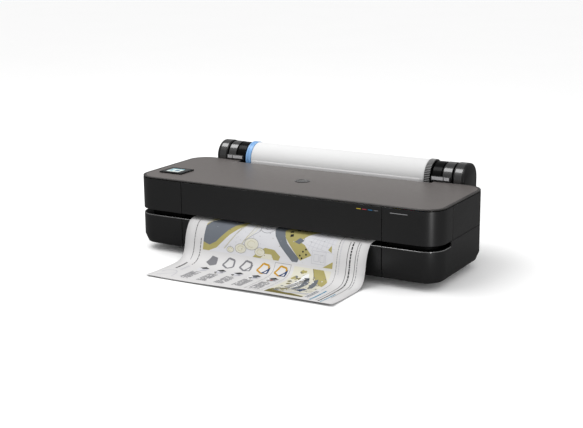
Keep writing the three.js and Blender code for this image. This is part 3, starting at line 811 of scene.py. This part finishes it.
def drawMargins(rng):
    stroke([(34, 176), (34, 316)], 1.5, "grey", 2)
    notes(33, 186, 306, "black", rng, 2.0)
    notes(56, 150, 248, "black", rng, 2.4)
    notes(52, 96, 140, "pale", rng, 3.0, 2, 5.0)
    notes(30, 104, 160, "black", rng, 6.0)
    stroke(arc(40, 62, 22, 200, 20, 16), 3.0, "pale", 2)
    stroke([(22, 24), (64, 66), (70, 30)], 2.6, "pale", 2)
    notes(516, 110, 330, "grey", rng, 1.6)
    notes(524, 200, 320, "pale", rng, 2.4)
    notes(508, 30, 96, "slate", rng, 4.0, 2, 6.0)
    notes(530, 12, 110, "teal", rng, 5.6)
    stroke([(548, 18), (548, 300)], 1.5, "black", 2)
    notes(556, 14, 300, "black", rng, 4.2)
    notes(566, 8, 96, "teal", rng, 3.6)
    stroke([(574, 60), (574, 306)], 1.4, "black", 2)
    notes(580, 150, 300, "grey", rng, 1.8)


dice = random.Random(7)
drawSitePlan(dice, pageSizes)
drawLegend(dice, pageSizes)
drawDetail(dice, pageSizes)
drawMargins(dice)
art = newPiece("sheet_artwork", artVerts, artFaces, artInk, 60)
color = art.data.color_attributes.new("inkColor", "FLOAT_COLOR", "CORNER")
for polygon, ink in zip(art.data.polygons, artColors):
    for corner in polygon.loop_indices:
        color.data[corner].color = (*ink, 1)
settle(art, "chassis")
print("drawing printed,", len(artFaces), "faces")


# Marks, badge and the lit panel.

def slab(name, x0, x1, y0, y1, z0, z1, material, body, bevel=0.0002):
    verts = [(x, y, z) for x in (x0, x1) for y in (y0, y1) for z in (z0, z1)]
    faces = [(0, 1, 3, 2), (4, 6, 7, 5), (0, 4, 5, 1), (2, 3, 7, 6), (0, 2, 6, 4), (1, 5, 7, 3)]
    piece = newPiece(name, verts, faces, material)
    fixNormals(piece)
    addBevel(piece, bevel, 2)
    return settle(piece, body)


inkDashes = {"z": 0.2140, "x": 0.259, "long": 0.0135, "gap": 0.0178, "high": 0.0018}
for i, tone in enumerate(((212, 184, 40), (176, 50, 70), (40, 120, 170), (110, 110, 114))):
    x = inkDashes["x"] + i * inkDashes["gap"]
    slab("ink_mark_" + str(i + 1), x, x + inkDashes["long"], frontY - 0.0002, frontY + 0.0006, inkDashes["z"],
         inkDashes["z"] + inkDashes["high"], moulded("markInk" + str(i + 1), paint(*tone), 0.4, tone=0.04),
         "front_door")
slab("plain_mark", 0.362, 0.415, frontY - 0.0002, frontY + 0.0006, 0.2128, 0.2146, dashInk, "ink_door")

badgeSizes = {"x": -0.008, "y": frontY + 0.165, "radius": 0.0235, "squash": 0.95}


def addBadge(c):
    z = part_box("top_plate")[1].z
    verts, faces = [], []
    stations = [(1.0, 0.0), (1.0, 0.0006), (0.965, 0.0010), (0.90, 0.0010), (0.87, 0.0005), (0.0, 0.0005)]
    sides = 64
    for r, up in stations[:-1]:
        for i in range(sides):
            angle = 2 * math.pi * i / sides
            verts.append((c["x"] + c["radius"] * r * math.cos(angle),
                          c["y"] + c["radius"] * c["squash"] * r * math.sin(angle), z + up))
    rings = len(stations) - 1
    for s in range(rings - 1):
        for i in range(sides):
            j = (i + 1) % sides
            faces.append((s * sides + i, s * sides + j, (s + 1) * sides + j, (s + 1) * sides + i))
    faces.append([(rings - 1) * sides + i for i in range(sides)])
    faces.append([i for i in reversed(range(sides))])
    settle(newPiece("blank_badge", verts, faces, badgeDark), "chassis")


addBadge(badgeSizes)
# Light grey strips along the dark saddles' front faces: a painted highlight along their front edges
saddleHighlightStrip = {"low": 0.0055, "top": 0.0020, "end": 0.003, "split": 0.66, "gap": 0.0012}
for side, sign in (("left", -1), ("right", 1)):
    c = saddleHighlightStrip
    low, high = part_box("roll_saddle_" + side)
    joint = low.x + (high.x - low.x) * (c["split"] if sign > 0 else 1 - c["split"])
    for part, a, b in (("a", low.x + c["end"], joint - c["gap"]), ("b", joint + c["gap"], high.x - c["end"])):
        slab("saddle_strip_" + side + "_" + part, a, b, low.y - 0.0004, low.y + 0.001, low.z + c["low"],
             high.z - c["top"], stripHighlightGrey, "chassis", 0.0006)
low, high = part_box("control_screen")
top = high.z
wide, deep = high.x - low.x, high.y - low.y
tiles = [("panel_picture", 0.16, 0.80, 0.10, 0.78, screenLit),
    ("panel_header", 0.16, 0.80, 0.68, 0.78, screenTeal),
         ("panel_tile_1", 0.22, 0.38, 0.26, 0.54, screenTeal),
         ("panel_tile_2", 0.50, 0.70, 0.26, 0.54, screenBlue)]
for k, (name, a0, a1, b0, b1, material) in enumerate(tiles):
    slab(name, low.x + a0 * wide, low.x + a1 * wide, low.y + b0 * deep, low.y + b1 * deep, top - 0.0002,
         top + 0.0002 + 0.00012 * k, material, "chassis", 0.00005)
# Near-black, almost unreflecting slabs in the upright seams beside the front door and the lower front cover:
# painted shade in the gaps.
seamSize = {"wide": 0.0009, "back": 0.0008, "deep": 0.0018, "inset": 0.0015}
for node, body in (("front_door", "front_door"), ("lower_front_cover", "chassis")):
    c = seamSize
    low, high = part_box(node)
    for side, x in (("left", low.x - c["wide"]), ("right", high.x)):
        slab("seam_" + node + "_" + side, x, x + c["wide"], frontY + c["back"],
            frontY + c["back"] + c["deep"],
             low.z + c["inset"] * (1 if node == "front_door" else 16), high.z - c["inset"], seamShadeBlack, body,
             0.0001)
print("marks, badge and panel made")


# The lip along the lower edge of the slot, as a grey metallic bead: its grey colour is a painted highlight on
# the black lip, its shine is real reflection.

lipSizes = {"radius": 0.0019, "inset": 0.0019, "corner": 0.060, "end": 0.092, "seam": 0.338}


def addLip(name, path, c, body):
    verts, faces = [], []
    sides = 10
    for i, p in enumerate(path):
        ahead = path[min(i + 1, len(path) - 1)] - path[max(i - 1, 0)]
        across = Vector((-ahead.y, ahead.x, 0)).normalized()
        for k in range(sides):
            angle = 2 * math.pi * k / sides
            verts.append(p + across * c["radius"] * math.cos(angle) + Vector((0, 0,
                c["radius"] * math.sin(angle))))
    for i in range(len(path) - 1):
        for k in range(sides):
            j = (k + 1) % sides
            faces.append((i * sides + k, i * sides + j, (i + 1) * sides + j, (i + 1) * sides + k))
    faces.append(list(range(sides)))
    faces.append([(len(path) - 1) * sides + k for k in reversed(range(sides))])
    piece = newPiece(name, verts, faces, lipHighlightGrey, 60)
    fixNormals(piece)
    settle(piece, body)


# Grey metal on the black lip's bead: a painted highlight, brightened further by real reflection
lipHighlightGrey = moulded("lipHighlightGrey", (0.30, 0.30, 0.30), 0.18, bump=0.01, spread=0.02, metallic=0.8, specular=1.0)
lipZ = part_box("lower_front_cover")[1].z - lipSizes["radius"] * 0.45
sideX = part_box("lower_right_cover")[1].x - lipSizes["inset"]
for side, sign in (("left", -1), ("right", 1)):
    bend = lipSizes["corner"] - lipSizes["inset"]
    centre = Vector((sign * (sideX - bend), frontY + lipSizes["inset"] + bend, lipZ))
    path = [Vector((sign * lipSizes["seam"], frontY + lipSizes["inset"], lipZ))]
    path += [centre + Vector((sign * math.sin(math.pi / 2 * t / 14), -math.cos(math.pi / 2 * t / 14),
        0)) * bend
             for t in range(15)]
    path.append(Vector((sign * sideX, frontY + lipSizes["end"], lipZ)))
    addLip("slot_lip_" + side, path, lipSizes, "chassis")
addLip("slot_lip_front",
    [Vector((x * 0.336, frontY + lipSizes["inset"], lipZ)) for x in (-1, -0.5, 0, 0.5, 1)],
       lipSizes, "chassis")

# Rows of ribs, teeth and vents.

ribs = {"count": 41, "pitch": 0.0162, "size": (0.0022, 0.060, 0.0022)}
rows = rowTree(finishes["slot_black"])
guideLow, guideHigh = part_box("exit_guide")
piece = grow("exit_ribs", rows, {"Count": ribs["count"],
    "Start": (-ribs["pitch"] * 20, guideLow.y + 0.045, guideHigh.z + 0.001),
                                 "Offset": (ribs["pitch"], 0, 0), "Block": ribs["size"]},
                                 finishes["slot_black"], 0.0005)
settle(piece, "chassis")
platenLow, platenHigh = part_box("platen")
piece = grow("platen_ribs", rowTree(finishes["mech_plastic"]),
             {"Count": 60, "Start": (-0.01 * 29.5 * 1.1, (platenLow.y + platenHigh.y) / 2,
             platenHigh.z + 0.0001),
              "Offset": (0.011, 0, 0), "Block": (0.0016, 0.086, 0.0004)}, finishes["mech_plastic"])
settle(piece, "chassis")
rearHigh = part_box("lower_rear_cover")[1]
ventRow = {"count": 26, "pitch": 0.006, "size": (0.0026, 0.0012, 0.022)}
piece = grow("rear_vents", rowTree(finishes["slot_black"]),
             {"Count": ventRow["count"], "Start": (0.14, rearHigh.y, 0.075),
             "Offset": (ventRow["pitch"], 0, 0),
              "Block": ventRow["size"]}, finishes["slot_black"], 0.0004)
settle(piece, "chassis")
beltLow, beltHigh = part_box("carriage_belt")
piece = grow("belt_teeth", rowTree(finishes["rubber_black"]),
             {"Count": 180, "Start": (-0.465, (beltLow.y + beltHigh.y) / 2, beltLow.z + 0.0013),
              "Offset": (0.0052, 0, 0), "Block": (0.0022, 0.0056, 0.0007)}, finishes["rubber_black"])
settle(piece, "chassis")
print("ribs and vents grown")

# Stage and light.

studio = {"floor": 60.0, "bounce": 0.15, "world": 1.0, "gloss": 0.3, "key": 2.0,
          "strip": 3.2, "back": 1.0, "top": 31.0}


def addStage(c):
    half = c["floor"] / 2
    material, g = newMaterial("studioFloor")
    place = g.add("ShaderNodeTexCoord", out=3)
    cloud = g.add("ShaderNodeTexNoise", None, {"Vector": place, "Scale": 1.5})
    seen = g.add("ShaderNodeMix", {"data_type": "RGBA"},
                 {0: cloud, 6: (0.97, 0.97, 0.97, 1), 7: (0.985, 0.985, 0.985, 1)}, out=2)
    camera = g.add("ShaderNodeLightPath")
    base = g.add("ShaderNodeMix", {"data_type": "RGBA"}, {0: camera, 6: (*[c["bounce"]] * 3, 1), 7: seen},
        out=2)
    finishSurface(g, {"Base Color": base, "Roughness": 0.9, "Specular IOR Level": 0.1})
    floor = newPiece("floor", [(-half, -half, 0), (half, -half, 0), (half, half, 0), (-half, half, 0)],
        [(0, 1, 2, 3)],
                     material)


def addArea(name, place, target, size, power):
    data = bpy.data.lights.new(name, "AREA")
    data.shape = "RECTANGLE"
    data.size, data.size_y = size
    data.energy = power
    light = bpy.data.objects.new(name, data)
    light.location = place
    light.visible_camera = False
    light.rotation_euler = (Vector(target) - Vector(place)).to_track_quat("-Z", "Y").to_euler()
    bpy.context.scene.collection.objects.link(light)


addStage(studio)
world = bpy.data.worlds.new("studio")
bpy.context.scene.world = world
world.use_nodes = True
world.node_tree.nodes.clear()
g = Graph(world.node_tree)
mirrored = g.add("ShaderNodeLightPath", out=3)  # dimmer in reflections, so that gloss shows the lights
sky = g.add("ShaderNodeBackground", None,
            {"Color": (1, 1, 1, 1),
            "Strength": mirrored * (studio["gloss"] - studio["world"]) + studio["world"]})
g.add("ShaderNodeOutputWorld", None, {"Surface": sky})
addArea("key", (-1.2, -1.6, 2.6), (0, 0, 0.1), (2.2, 1.6), studio["key"])
addArea("strip", (1.31, -0.87, 0.115), (0.49, -0.3, 0.115), (0.12, 0.2), studio["strip"])
addArea("top", (-1.1, -0.36, 2.4), (-1.0, -0.2, 0.24), (2.4, 1.1), studio["top"])
addArea("back", (0.4, 2.4, 1.8), (0, 0.2, 0.2), (2.4, 1.0), studio["back"])
bpy.context.scene.view_settings.view_transform = "Standard"

print("finished")
